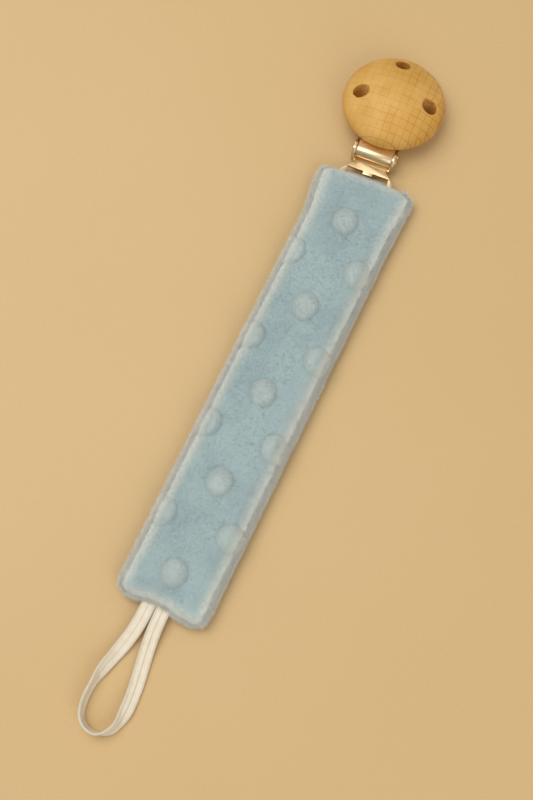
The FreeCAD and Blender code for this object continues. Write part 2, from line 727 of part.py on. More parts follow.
# Wooden dome: a flat foot, a skirt rounded up to the widest circle, and a crown
# of two arcs that meet in tangency, a tight one at the shoulder and a flat one.
wood_dome = new_body("wood_dome")
profile = sketch_on(wood_dome, "dome_profile", "XZ_Plane")
outline(profile, [
    ("0", "0"),
    ("[dome_radius] - [dome_skirt]", "0", "[dome_skirt]"),
    ("[dome_radius]", "[dome_skirt]", "[dome_shoulder]"),
    (
        "[shoulder_across] * [meeting_share]",
        "[crown_middle] + ([dome_skirt] - [crown_middle]) * [meeting_share]",
        "[crown_radius]",
    ),
    ("0", "[dome_skirt] + [dome_crown]"),
])
revolve(wood_dome, profile, "Z_Axis")
recess = sketch_on(wood_dome, "plate_recess", "XY_Plane")
rectangle(
    recess,
    "-[recess_side]",
    "[recess_side]",
    "-[dome_radius] - [overrun]",
    "[plate_reach] - [dome_distance] + [recess_clearance]",
)
pocket(wood_dome, recess, "[sheet_thickness] + [pin_fit]", backward=True)
vents = sketch_on(wood_dome, "first_vent", "XY_Plane")
circle(
    vents,
    "-[vent_circle_radius] * sin([first_vent_angle] * 1 deg)",
    "[vent_circle_radius] * cos([first_vent_angle] * 1 deg)",
    "[vent_radius]",
)
vent_cut = pocket(wood_dome, vents, "([dome_skirt] + [dome_crown]) * 3", middle=True)
vent_ring = wood_dome.newObject("PartDesign::PolarPattern", "vent_ring")
vent_ring.Originals = [vent_cut]
vent_axis = [item for item in wood_dome.Origin.OriginFeatures if item.Role == "Z_Axis"][0]
vent_ring.Axis = (vent_axis, [""])
vent_ring.Reversed = True
vent_ring.setExpression("Angle", bound("2 * [vent_spacing_angle]"))
vent_ring.Occurrences = 3
wood_dome.Tip = vent_ring
doc.recompute()
blind_holes = sketch_on(wood_dome, "rivet_blind_holes", "XY_Plane")
for place_along in ("[rivet_first]", "[rivet_first] + [rivet_spacing]"):
    circle(blind_holes, "0", place_along + " - [dome_distance]", "[rivet_radius] + [pin_fit]")
pocket(wood_dome, blind_holes, "[rivet_length] + [pin_fit]", backward=True)
keep(wood_dome, "wood_dome", lever_place * Placement(
    Vector(0, size("dome_distance"), size("pin_bore")), Rotation()))


def dome_rivet(name, along):
    """A rivet with its flat head in the plate and its shank in the wood."""
    head = doc.addObject("Part::Cylinder", name + "_head")
    head.setExpression("Radius", bound("[rivet_head_radius]"))
    head.setExpression("Height", bound("[sheet_thickness]"))
    shank = doc.addObject("Part::Cylinder", name + "_shank")
    shank.setExpression("Radius", bound("[rivet_radius]"))
    shank.setExpression("Height", bound("[rivet_length]"))
    for piece in (head, shank):
        piece.setExpression("Placement.Base.y", bound(along))
        piece.setExpression("Placement.Base.z", bound("[pin_bore]"))
    return [head, shank]


rivets = dome_rivet("near_rivet", "[rivet_first]")
rivets += dome_rivet("far_rivet", "[rivet_first] + [rivet_spacing]")
group("dome_rivets", rivets, lever_place)

# --------------------------------------------------------------- elastic loop
# The band leaves the strap's lower end twice, side by side, and lies on the
# surface as a narrow loop with one tight turn at its far end.
band_section = size("band_width") * size("band_thickness")
strap_end = strap_y - size("strap_length")
leg_shift = (size("band_width") + size("band_gap")) / 2
left_exit = Vector(strap_x + size("band_offset") - leg_shift, strap_end, size("middle_height"))
right_exit = left_exit + Vector(2 * leg_shift, 0, 0)
straight_out = Vector(0, -size("band_exit_run"), 0)
route_between = [
    (-3.4, -9.0, 1.7),
    (-4.7, -15.0, 0.7),
    (-6.5, -21.4, 0.5),
    (-7.3, -27.4, 0.5),
    (-7.1, -32.3, 0.5),
    (-5.8, -35.8, 0.5),
    (-2.9, -37.7, 0.5),
    (0.6, -37.4, 0.5),
    (3.2, -35.0, 0.5),
    (4.1, -31.4, 0.5),
    (4.1, -26.6, 0.5),
    (3.4, -20.8, 0.5),
    (2.3, -14.8, 0.7),
    (1.5, -9.0, 1.7),
]
route = [left_exit, left_exit + straight_out]
route += [Vector(strap_x + x, strap_end + y, z) for x, y, z in route_between]
route += [right_exit + straight_out, right_exit]
BEND_SHARE = 0.45


def bends_along(points):
    """Radius, start, middle and end of the tangent arc at each inner point."""
    found = []
    for before, corner, after in zip(points, points[1:], points[2:]):
        into = (corner - before).normalize()
        out_of = (after - corner).normalize()
        turn = into.getAngle(out_of)
        reach = BEND_SHARE * min((corner - before).Length, (after - corner).Length)
        bend_radius = reach / math.tan(turn / 2)
        inward = (out_of - into).normalize()
        middle = corner + inward * (bend_radius / math.cos(turn / 2) - bend_radius)
        found.append((bend_radius, corner - into * reach, middle, corner + out_of * reach))
    return found


def band_path(points):
    """Straight runs joined by tangent arcs."""
    edges = []
    last = points[0]
    for _, start, middle, end in bends_along(points):
        if (start - last).Length > small:
            edges.append(Part.LineSegment(last, start).toShape())
        edges.append(Part.Arc(start, middle, end).toShape())
        last = end
    edges.append(Part.LineSegment(last, points[-1]).toShape())
    return Part.Wire(edges)


def band_solid(points):
    """The flat section carried along the path, its wide side kept level."""
    path = band_path(points)
    across = Vector(size("band_width") / 2, 0, 0)
    up = Vector(0, 0, size("band_thickness") / 2)
    start = points[0]
    ends = [start - across - up, start + across - up, start + across + up, start - across + up]
    section = Part.makePolygon(ends + [ends[0]])
    shell = Part.BRepOffsetAPI.MakePipeShell(path)
    shell.setBiNormalMode(UPWARD)
    shell.add(section)
    shell.build()
    shell.makeSolid()
    return shell.shape(), path.Length


band_shape, band_length = band_solid(route)
elastic_loop = doc.addObject("Part::Feature", "elastic_loop")
elastic_loop.Shape = band_shape
keep(elastic_loop, "elastic_loop", Placement())
print("elastic loop radii:", [round(bend[0], 1) for bend in bends_along(route)])
print("elastic loop length %.1f, volume %.1f of %.1f" % (
    band_length, band_shape.Volume, band_section * band_length))

# ------------------------------------------------------------------- write out
doc.recompute()
for item in doc.Objects:
    if "Invalid" in item.State or "Error" in item.State:
        raise RuntimeError(item.Name + " failed")
os.makedirs("parts", exist_ok=True)
for part in parts:
    shape = part.Shape
    if shape.isNull() or not shape.isValid():
        raise RuntimeError(part.Label + " has no valid shape")
    shape.exportStep("parts/" + part.Label + ".step")
    box = shape.BoundBox
    print("%-15s solids %d  volume %8.1f  z %.2f to %.2f" % (
        part.Label, len(shape.Solids), shape.Volume, box.ZMin, box.ZMax))
print("clip tilt %.2f, lever tilt %.2f degrees" % (clip_tilt, lever_tilt))
print("strap frame at %.3f, %.3f" % (strap_x, strap_y))
print("rail point", tuple(round(value, 3) for value in rail_point))
print("pin point", tuple(round(value, 3) for value in lever_place.Base))
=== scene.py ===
import math
import random

import bmesh
import bpy
from mathutils import Matrix, Vector, noise


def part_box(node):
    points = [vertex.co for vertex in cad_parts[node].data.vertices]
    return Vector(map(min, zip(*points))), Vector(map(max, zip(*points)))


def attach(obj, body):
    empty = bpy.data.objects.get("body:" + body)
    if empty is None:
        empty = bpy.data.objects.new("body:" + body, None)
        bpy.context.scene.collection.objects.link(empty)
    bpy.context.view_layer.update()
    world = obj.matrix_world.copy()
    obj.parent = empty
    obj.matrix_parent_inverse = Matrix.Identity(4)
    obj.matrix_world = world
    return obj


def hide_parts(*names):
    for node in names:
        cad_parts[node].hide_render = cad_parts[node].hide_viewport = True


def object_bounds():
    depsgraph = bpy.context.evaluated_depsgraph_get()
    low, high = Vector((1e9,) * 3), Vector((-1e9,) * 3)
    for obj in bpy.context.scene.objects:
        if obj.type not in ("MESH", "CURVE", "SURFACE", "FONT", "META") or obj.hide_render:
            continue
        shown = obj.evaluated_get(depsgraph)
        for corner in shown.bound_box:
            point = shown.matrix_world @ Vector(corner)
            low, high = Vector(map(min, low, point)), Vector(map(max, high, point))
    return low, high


# A soother clip on a table: a wooden dome clip, a dotted plush strap and an elastic loop.
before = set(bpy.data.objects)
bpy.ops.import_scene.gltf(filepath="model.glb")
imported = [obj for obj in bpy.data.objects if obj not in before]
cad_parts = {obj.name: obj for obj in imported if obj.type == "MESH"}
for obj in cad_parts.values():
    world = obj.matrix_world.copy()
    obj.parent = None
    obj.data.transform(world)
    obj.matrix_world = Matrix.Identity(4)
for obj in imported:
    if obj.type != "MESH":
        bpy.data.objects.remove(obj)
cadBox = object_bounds()
mm = 0.001
upward = Vector((0, 0, 1))
scene = bpy.context.scene
scene.view_settings.view_transform = "Standard"
print("frame loaded,", len(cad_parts), "nodes")


def clearSelection():
    bpy.ops.object.select_all(action="DESELECT")


def makeActive(piece):
    clearSelection()
    piece.select_set(True)
    bpy.context.view_layer.objects.active = piece


def applyModifier(piece, kind, **settings):
    makeActive(piece)
    modifier = piece.modifiers.new(kind.lower(), kind)
    for name, value in settings.items():
        setattr(modifier, name, value)
    bpy.ops.object.modifier_apply(modifier=modifier.name)


def copyNode(nodeName, pieceName):
    # the CAD mesh comes as loose triangles, so the copy is merged and its flat faces joined
    piece = bpy.data.objects.new(pieceName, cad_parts[nodeName].data.copy())
    scene.collection.objects.link(piece)
    makeActive(piece)
    bpy.ops.object.mode_set(mode="EDIT")
    bpy.ops.mesh.select_all(action="SELECT")
    bpy.ops.mesh.remove_doubles(threshold=0.002 * mm)
    bpy.ops.mesh.dissolve_limited(angle_limit=math.radians(0.5))
    bpy.ops.object.mode_set(mode="OBJECT")
    return piece


def wear(piece, material):
    piece.data.materials.clear()
    piece.data.materials.append(material)


def easeBetween(low, high, value):
    share = min(max((value - low) / (high - low), 0.0), 1.0)
    return share * share * (3 - 2 * share)


def fadeOut(band, distance):
    # 1 up to the band's first distance and 0 past its second, both given in millimetres
    return 1 - easeBetween(band[0] * mm, band[1] * mm, distance)


# ---- camera: above the strap and a little from its right, the strap running up and to the right
cameraSet = {
    "aimFromMiddle": (4.05, -3.87),  # mm, across and along, from the middle of the CAD box
    "aimHeight": 6.0,
    "azimuth": 25.77,
    "elevation": 77.87,
    "distance": 358.6,
    "lens": 58.5,
    "sensor": 36.0,
}


def makeCamera(use):
    low, high = Vector(cadBox[0]), Vector(cadBox[1])
    aim = (low + high) / 2
    aim.x += use["aimFromMiddle"][0] * mm
    aim.y += use["aimFromMiddle"][1] * mm
    aim.z = use["aimHeight"] * mm
    side = math.radians(use["azimuth"])
    rise = math.radians(use["elevation"])
    back = Vector((math.sin(side) * math.cos(rise), -math.cos(side) * math.cos(rise), math.sin(rise)))
    bpy.ops.object.camera_add(location=aim + back * use["distance"] * mm)
    camera = bpy.context.object
    camera.name = "viewCamera"
    camera.rotation_euler = back.to_track_quat("Z", "Y").to_euler()
    camera.data.sensor_fit = "VERTICAL"
    camera.data.sensor_height = use["sensor"]
    camera.data.lens = use["lens"]
    camera.data.clip_start = 0.01
    scene.camera = camera


makeCamera(cameraSet)
print("camera placed")


# ---- materials
class Finish:
    # a new material with its shader and short ways to add and join nodes
    def __init__(self, name):
        self.material = bpy.data.materials.new(name)
        self.material.use_nodes = True
        self.tree = self.material.node_tree
        self.shader = self.tree.nodes["Principled BSDF"]

    def node(self, kind, **settings):
        made = self.tree.nodes.new(kind)
        for name, value in settings.items():
            setattr(made, name, value)
        return made

    def join(self, start, end):
        self.tree.links.new(start, end)

    def place(self, centre=(0, 0, 0), turn=0.0, stretch=(1, 1, 1)):
        # object coordinates in millimetres, from a centre given in metres
        source = self.node("ShaderNodeTexCoord")
        moved = self.node("ShaderNodeMapping", vector_type="TEXTURE")
        moved.inputs["Location"].default_value = centre
        moved.inputs["Rotation"].default_value = (0, 0, turn)
        moved.inputs["Scale"].default_value = [mm * value for value in stretch]
        self.join(source.outputs["Object"], moved.inputs["Vector"])
        return moved.outputs["Vector"]

    def noise(self, vector, scale, detail=3.0, roughness=0.5):
        made = self.node("ShaderNodeTexNoise")
        made.inputs["Scale"].default_value = scale
        made.inputs["Detail"].default_value = detail
        made.inputs["Roughness"].default_value = roughness
        self.join(vector, made.inputs["Vector"])
        return made.outputs["Fac"]

    def maths(self, operation, first, second=None, third=None):
        made = self.node("ShaderNodeMath", operation=operation)
        for socket, value in zip(made.inputs, (first, second, third)):
            if value is None:
                continue
            if isinstance(value, (int, float)):
                socket.default_value = value
            else:
                self.join(value, socket)
        return made.outputs[0]

    def spread(self, value, fromLow, fromHigh, low, high):
        made = self.node("ShaderNodeMapRange", interpolation_type="SMOOTHSTEP")
        self.join(value, made.inputs["Value"])
        for name, number in zip(("From Min", "From Max", "To Min", "To Max"), (fromLow, fromHigh, low, high)):
            made.inputs[name].default_value = number
        return made.outputs["Result"]

    def mix(self, share, first, second):
        made = self.node("ShaderNodeMix", data_type="RGBA")
        self.join(share, made.inputs["Factor"])
        for socket, value in ((made.inputs[6], first), (made.inputs[7], second)):
            if isinstance(value, tuple):
                socket.default_value = (*value, 1)
            else:
                self.join(value, socket)
        return made.outputs[2]

    def bump(self, height, depth, after=None):
        made = self.node("ShaderNodeBump")
        made.inputs["Distance"].default_value = depth * mm
        self.join(height, made.inputs["Height"])
        if after is not None:
            self.join(after, made.inputs["Normal"])
        return made.outputs["Normal"]

    def put(self, socketName, value):
        socket = self.shader.inputs[socketName]
        if isinstance(value, (int, float)):
            socket.default_value = value
        elif isinstance(value, tuple):
            socket.default_value = (*value, 1)
        else:
            self.join(value, socket)


def plushFinish(name, use):
    # painted light is kept on the cloth: a pale tone mixed into the base colour along the rims, standing in
    # for light scattered through the fuzz, and a weaker painted highlight on the dots' caps
    plush = Finish(name)
    where = plush.place()
    brushed = plush.noise(where, use["patchScale"], 2.0)
    combed = plush.place(turn=use["combTurn"], stretch=use["combStretch"])
    strokes = plush.noise(combed, 1.0, 3.0, 0.6)
    pile = plush.noise(where, use["pileScale"], 2.0, 0.7)
    tone = plush.mix(plush.spread(brushed, 0.35, 0.65, 0, 1), use["deep"], use["soft"])
    lift = plush.spread(plush.maths("ADD", strokes, plush.maths("MULTIPLY", pile, 0.5)), 0.55, 1.0, 0, 1)
    tone = plush.mix(plush.maths("MULTIPLY", lift, use["tipShare"]), tone, use["tip"])
    # the painted light read here lightens the base colour towards the rim colour
    paintedLevel = plush.node("ShaderNodeAttribute", attribute_name="paintedLight")
    shown = plush.maths("MULTIPLY", paintedLevel.outputs["Fac"], use["paintedLightShare"])
    plush.put("Base Color", plush.mix(shown, tone, use["rim"]))
    plush.put("Roughness", use["roughness"])
    plush.put("Specular IOR Level", use["specular"])
    plush.put("Sheen Weight", use["sheen"])
    plush.put("Sheen Roughness", use["sheenRoughness"])
    plush.put("Sheen Tint", use["sheenTint"])
    bumped = plush.bump(strokes, use["strokeDepth"])
    plush.put("Normal", plush.bump(pile, use["pileDepth"], bumped))
    return plush.material


plushLook = {
    "deep": (0.315, 0.440, 0.475),
    "soft": (0.385, 0.515, 0.540),
    "tip": (0.50, 0.60, 0.60),
    # rim: the pale colour painted on as light along the rims and on the dots' caps
    "rim": (0.96, 0.95, 0.85),
    "paintedLightShare": 0.92,
    "sheen": 0.8,
    "sheenTint": (0.97, 0.97, 0.88),
    "strokeDepth": 0.25,
    "pileDepth": 0.1,
    "patchScale": 0.09,
    "combTurn": math.radians(-28),
    "combStretch": (0.3, 1.1, 0.3),
    "pileScale": 5.0,
    "tipShare": 0.5,
    "roughness": 0.95,
    "specular": 0.15,
    "sheenRoughness": 0.45,
}
plushCloth = plushFinish("plushCloth", plushLook)
# the fibres' lighter colours are painted light: a lit copy of the cloth's finish, standing in for light
# passing through the fuzz
litTipLook = {
    **plushLook,
    "deep": (0.44, 0.56, 0.58),
    "soft": (0.52, 0.63, 0.63),
    "tip": (0.66, 0.73, 0.69),
    "rim": (0.98, 0.97, 0.88),
    "paintedLightShare": 0.95,
}
plushTipsLit = plushFinish("plushTipsLit", litTipLook)


def beechFinish():
    # two families of flat grain lines, square to each other, cut by the dome's curve
    look = {
        "light": (0.77, 0.46, 0.13),
        "warm": (0.68, 0.375, 0.08),
        "line": (0.52, 0.20, 0.035),
        "turn": math.radians(4),
        "rayPitch": 2.05,
        "ringPitch": 2.3,
        "lineWidth": 0.07,
        "wander": 1.3,
        "tremble": 0.12,
        "grooveDepth": -0.008,
    }
    low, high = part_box("wood_dome")
    beech = Finish("beechWood")
    where = beech.place(centre=(low + high) / 2, turn=look["turn"])
    parts = beech.node("ShaderNodeSeparateXYZ")
    beech.join(where, parts.inputs["Vector"])
    wander = beech.maths("SUBTRACT", beech.noise(where, 0.16, 2.0), 0.5)
    tremble = beech.maths("SUBTRACT", beech.noise(where, 0.9, 2.0), 0.5)
    faint = beech.noise(where, 0.22, 3.0)

    def lines(distance, pitch, width, drift):
        shifted = beech.maths("MULTIPLY_ADD", wander, drift, distance)
        shifted = beech.maths("MULTIPLY_ADD", tremble, look["tremble"], shifted)
        saw = beech.maths("PINGPONG", beech.maths("DIVIDE", shifted, pitch), 0.5)
        return beech.spread(saw, width * 0.4, width, 1, 0)

    rays = lines(parts.outputs["X"], look["rayPitch"], look["lineWidth"], look["wander"])
    rings = lines(parts.outputs["Y"], look["ringPitch"], look["lineWidth"], -look["wander"])
    crossing = beech.maths("MAXIMUM", rays, rings)
    stronger = beech.spread(parts.outputs["X"], -12, 14, 0.3, 0.85)
    broken = beech.spread(faint, 0.35, 0.6, 0.35, 1)
    shown = beech.maths("MULTIPLY", beech.maths("MULTIPLY", crossing, stronger), broken)
    clouds = beech.spread(beech.noise(where, 0.12, 3.0), 0.3, 0.7, 0, 1)
    tone = beech.mix(clouds, look["light"], look["warm"])
    flecks = beech.noise(beech.place(stretch=(0.25, 0.25, 1.4)), 1.6, 2.0)
    tone = beech.mix(beech.spread(flecks, 0.55, 0.8, 0, 0.25), tone, look["line"])
    beech.put("Base Color", beech.mix(shown, tone, look["line"]))
    beech.put("Roughness", beech.spread(faint, 0.3, 0.7, 0.5, 0.62))
    beech.put("Specular IOR Level", 0.35)
    fine = beech.bump(beech.noise(where, 6.0, 3.0, 0.6), 0.02)
    beech.put("Normal", beech.bump(shown, look["grooveDepth"], fine))
    return beech.material


def nickelFinish():
    nickel = Finish("nickelSteel")
    where = nickel.place()
    clouds = nickel.noise(where, 0.5, 3.0)
    brushed = nickel.noise(nickel.place(stretch=(4, 0.12, 0.12)), 2.0, 3.0)
    # the warm gold of the base colour is a painted reflection of warm surroundings on the nickel
    nickel.put("Base Color", nickel.mix(clouds, (0.90, 0.70, 0.43), (0.82, 0.63, 0.38)))
    nickel.put("Metallic", 1.0)
    nickel.put("Roughness", nickel.spread(brushed, 0.3, 0.7, 0.28, 0.38))
    nickel.put("Normal", nickel.bump(brushed, 0.0015))
    return nickel.material


def plasticFinish():
    plastic = Finish("insertPlastic")
    where = plastic.place()
    plastic.put("Base Color", plastic.mix(plastic.noise(where, 0.6), (0.78, 0.77, 0.72), (0.70, 0.69, 0.64)))
    plastic.put("Roughness", plastic.spread(plastic.noise(where, 2.0), 0.3, 0.7, 0.35, 0.5))
    plastic.put("Subsurface Weight", 0.25)
    plastic.put("Subsurface Scale", 0.5 * mm)
    plastic.put("Normal", plastic.bump(plastic.noise(where, 3.0), 0.01))
    return plastic.material


def ribbonFinish():
    ribbon = Finish("wovenRibbon")
    where = ribbon.place()
    parts = ribbon.node("ShaderNodeSeparateXYZ")
    ribbon.join(where, parts.inputs["Vector"])
    ribs = ribbon.maths("SINE", ribbon.maths("MULTIPLY", parts.outputs["X"], 12.0))
    tone = ribbon.mix(ribbon.spread(ribs, -1, 1, 0, 1), (0.32, 0.42, 0.43), (0.44, 0.54, 0.54))
    ribbon.put("Base Color", tone)
    ribbon.put("Roughness", 0.7)
    ribbon.put("Sheen Weight", 0.2)
    ribbon.put("Normal", ribbon.bump(ribs, 0.05))
    return ribbon.material


def threadFinish():
    thread = Finish("sewingThread")
    twist = thread.noise(thread.place(stretch=(0.3, 1.2, 0.3)), 2.0)
    thread.put("Base Color", thread.mix(twist, (0.36, 0.46, 0.47), (0.52, 0.60, 0.60)))
    thread.put("Roughness", 0.75)
    thread.put("Normal", thread.bump(twist, 0.05))
    return thread.material


def waddingFinish():
    wadding = Finish("wadding")
    fluff = wadding.noise(wadding.place(), 1.5, 4.0)
    wadding.put("Base Color", wadding.mix(fluff, (0.78, 0.77, 0.73), (0.88, 0.87, 0.84)))
    wadding.put("Roughness", 0.95)
    wadding.put("Sheen Weight", 0.3)
    wadding.put("Normal", wadding.bump(fluff, 0.3))
    return wadding.material


def elasticFinish():
    # the map runs 0 to 1 round the band's section and in millimetres along it
    columnCount = 46
    rowPitch = 0.42
    elastic = Finish("wovenElastic")
    source = elastic.node("ShaderNodeUVMap", uv_map="bandMap")
    parts = elastic.node("ShaderNodeSeparateXYZ")
    elastic.join(source.outputs["UV"], parts.inputs["Vector"])
    columns = elastic.maths("SINE", elastic.maths("MULTIPLY", parts.outputs["X"], 2 * math.pi * columnCount))
    rows = elastic.maths("SINE", elastic.maths("MULTIPLY", parts.outputs["Y"], 2 * math.pi / rowPitch))
    knit = elastic.maths("MULTIPLY", columns, rows)
    shade = elastic.noise(elastic.place(), 0.5, 3.0)
    tone = elastic.mix(elastic.spread(shade, 0.3, 0.7, 0, 1), (0.92, 0.81, 0.62), (0.96, 0.88, 0.72))
    gaps = elastic.spread(knit, -1, 1, 0.0, 0.14)
    elastic.put("Base Color", elastic.mix(gaps, tone, (0.55, 0.43, 0.28)))
    elastic.put("Roughness", 0.6)
    elastic.put("Sheen Weight", 0.25)
    elastic.put("Normal", elastic.bump(elastic.maths("ADD", knit, columns), 0.025))
    return elastic.material


def tableFinish():
    table = Finish("paleTable")
    where = table.place()
    grain = table.noise(where, 1.2, 4.0, 0.65)
    clouds = table.noise(where, 0.012, 2.0)
    tone = table.mix(clouds, (0.665, 0.455, 0.205), (0.70, 0.49, 0.235))
    table.put("Base Color", table.mix(table.spread(grain, 0.4, 0.8, 0, 0.12), tone, (0.50, 0.32, 0.13)))
    table.put("Roughness", 0.5)
    table.put("Specular IOR Level", 0.5)
    table.put("Normal", table.bump(grain, 0.06))
    return table.material


nickelSteel = nickelFinish()
beechWood = beechFinish()
insertPlastic = plasticFinish()
wovenRibbon = ribbonFinish()
sewingThread = threadFinish()
waddingFill = waddingFinish()
wovenElastic = elasticFinish()
print("materials made")

# ---- elastic loop: a flat band that turns over once on its way round
backLow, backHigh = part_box("back_panel")
strapMiddle = (backLow.x + backHigh.x) / 2
strapEnd = backLow.y
strapTop = backHigh.y
seamHeight = backHigh.z
tableGap = 0.03 * mm  # the strap's lowest point
elasticSet = {
    "width": 4.15,
    "thickness": 0.8,
    "rimWidth": 0.5,
    "rimSink": 0.07,
    # across from the strap's middle, along from its end, height: mm
    "route": [
        (-3.025, 0.0, 3.0),
        (-3.025, -4.0, 3.0),
        (-3.4, -9.0, 2.1),
        (-4.7, -15.0, 1.3),
        (-6.5, -21.4, 2.0),
        (-7.3, -27.4, 2.4),
        (-7.1, -32.3, 2.4),
        (-5.8, -35.8, 2.4),
        (-2.9, -37.7, 2.4),
        (0.6, -37.4, 2.4),
        (3.2, -35.0, 2.3),
        (4.1, -31.4, 2.0),
        (4.1, -26.6, 1.4),
        (3.4, -20.8, 0.9),
        (2.3, -14.8, 1.0),
        (1.5, -9.0, 1.9),
        (1.225, -4.0, 3.0),
        (1.225, 0.0, 3.0),
    ],
    # how far the band's outer face has turned from upward, at shares of its length
    "turns": [(0.0, 180), (0.14, 174), (0.24, 145), (0.34, 108), (0.50, 97), (0.58, 62),
              (0.66, 24), (0.78, 6), (1.0, 0)],
    "grooveHalf": 0.14,
    "grooveFloorHalf": 0.05,
    "ribEdge": 0.7,
    "grooveSink": 1.7,  # times rimSink
}


def turnAt(share, turns):
    for (low, first), (high, second) in zip(turns, turns[1:]):
        if share <= high:
            return math.radians(first + (second - first) * easeBetween(low, high, share))
    return math.radians(turns[-1][1])


def readRoute(points, order, steps):
    # the smooth line that a NURBS spline draws through its control points
    data = bpy.data.curves.new("elasticRoute", "CURVE")
    data.dimensions = "3D"
    spline = data.splines.new("NURBS")
    spline.points.add(len(points) - 1)
    for point, place in zip(spline.points, points):
        point.co = (*place, 1)
    spline.order_u = order
    spline.use_endpoint_u = True
    spline.resolution_u = steps
    routeObject = bpy.data.objects.new("elasticRoute", data)
    line = bpy.data.meshes.new_from_object(routeObject)
    found = [vertex.co.copy() for vertex in line.vertices]
    bpy.data.objects.remove(routeObject)
    bpy.data.meshes.remove(line)
    bpy.data.curves.remove(data)
    return found


def bandSection(use):
    # half the section, from one rim over the upper face to the other, then its lower twin
    half = use["width"] / 2
    deep = use["thickness"] / 2
    rim = use["rimWidth"]
    upper = []
    for step in range(5):
        angle = math.pi * step / 8
        upper.append((-half + deep * (1 - math.cos(angle)), deep * math.sin(angle)))
    upper.append((-half + rim + 0.05, deep))
    upper.append((-half + rim + 0.2, deep - use["rimSink"]))
    upper.append((-use["ribEdge"], deep - use["rimSink"]))
    upper.append((-use["grooveHalf"], deep - use["rimSink"]))
    upper.append((-use["grooveFloorHalf"], deep - use["rimSink"] * use["grooveSink"]))
    upper += [(-across, rise) for across, rise in reversed(upper)]
    lower = [(-across, -rise) for across, rise in upper[1:-1]]
    return upper + lower


def makeElastic(use):
    points = [Vector((strapMiddle + x * mm, strapEnd + y * mm, z * mm)) for x, y, z in use["route"]]
    centres = readRoute(points, 3, 24)
    lengths = [0.0]
    for here, following in zip(centres, centres[1:]):
        lengths.append(lengths[-1] + (following - here).length)
    section = bandSection(use)
    count = len(section)
    data = bpy.data.meshes.new("elasticBand")
    shape = bmesh.new()
    mapLayer = shape.loops.layers.uv.new("bandMap")
    rings = []
    for index, centre in enumerate(centres):
        before = centres[max(index - 1, 0)]
        after = centres[min(index + 1, len(centres) - 1)]
        along = (after - before).normalized()
        outward = along.cross(upward).normalized()
        level = outward.cross(along).normalized()
        angle = turnAt(lengths[index] / lengths[-1], use["turns"])
        facing = level * math.cos(angle) + outward * math.sin(angle)
        across = along.cross(facing)
        ring = [shape.verts.new(centre + (across * a + facing * b) * mm) for a, b in section]
        rings.append(ring)
    for index in range(len(rings) - 1):
        for corner in range(count):
            beside = (corner + 1) % count
            face = shape.faces.new((rings[index][corner], rings[index][beside],
                                    rings[index + 1][beside], rings[index + 1][corner]))
            face.smooth = True
            places = [(corner, index), (corner + 1, index), (corner + 1, index + 1), (corner, index + 1)]
            for loop, (around, step) in zip(face.loops, places):
                loop[mapLayer].uv = (around / count, lengths[step] / mm)
    shape.faces.new(list(reversed(rings[0])))
    shape.faces.new(rings[-1])
    bmesh.ops.recalc_face_normals(shape, faces=shape.faces)
    shape.to_mesh(data)
    shape.free()
    band = bpy.data.objects.new("elasticBand", data)
    scene.collection.objects.link(band)
    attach(band, "strap")
    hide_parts("elastic_loop")
    wear(band, wovenElastic)
    print("elastic band %.1f mm long, lowest %.2f mm" % (
        lengths[-1] / mm, min(vertex.co.z for vertex in data.vertices) / mm))


makeElastic(elasticSet)

# ---- strap: one padded bag, inflated by a short cloth simulation, then parted at its side seam
strapSet = {
    "simScale": 10.0,  # the cloth solver likes decimetres better than millimetres
    "cloth": {
        "quality": 6,
        "mass": 0.3,
        "tension_stiffness": 18,
        "compression_stiffness": 18,
        "shear_stiffness": 8,
        "bending_stiffness": 0.6,
        "use_pressure": True,
        "uniform_pressure_force": 0.5,
    },
    "lastFrame": 20,
    "cap": 1.2,
    "stillRim": (0.5, 6),  # the swelling grows from nothing to full over these distances inwards
    "corner": 3.2,
    "edgeRound": 2.6,
    "sizeShare": 0.985,
    "heightShare": 0.9,
    "voxel": 1.1,
    "rimHeight": 0.3,
    "rimRoll": 4.5,
    "flareBand": (0, 16),
    "endReach": 2.0,
    "endDip": 0.9,
    "topFlare": (2.0, 0.8),  # to the left and to the right
    "endFlare": 0.1,
    "topSlant": 0.085,  # the upper end is cut a little askew
    "lip": 4.3,
    "topBand": (3, 11),
    "endBand": (3, 12),
    "dipBand": (2, 7),
    "slantFrom": 7,
    "mouthBand": (8.5, 10.5),  # from the clip's middle
    "mouthFloor": 0.8,
    "lipBand": (7.5, 12),
    "lipOpening": (0.7, 1.5),  # up and down from the seam
    "loopAcross": -0.9,
    "uneven": ((0.18, 9.0), (0.08, 2.0)),  # depth and size of each roughening
    "dotWidth": 7.4,
    "dotLength": 8.4,
    "dotRise": 2.2,
    "dotFrom": 0.5,  # above the seam
    "dotSwell": (2.3, 0.72),  # powers that shape the dot's flat top and steep rim
    # the painted highlight on the dots' caps and the band over which it fades
    "dotPaintedLight": 0.18,
    "dotPaintedLightBand": (0.75, 1.1),
    "paintedRimReach": 5.0,
    "dotPitch": 27.4,
    "dotRows": (-10.4, -0.2, 9.3),
    "dotDrift": 0.9,  # the rows lean this far to the left at the upper end
    "driftBand": (5, 60),
    "rightRowUp": 0.9,
    "firstDot": 13.4,
}


def edgeDistance(across, along, use):
    # inwards from the strap's outline, a rectangle with round corners
    corner = use["corner"] * mm
    fromSide = (backHigh.x - backLow.x) / 2 - abs(across)
    fromTip = (strapTop - strapEnd) / 2 - abs(along)
    if fromSide < corner and fromTip < corner:
        return corner - math.hypot(corner - fromSide, corner - fromTip)
    return min(fromSide, fromTip)


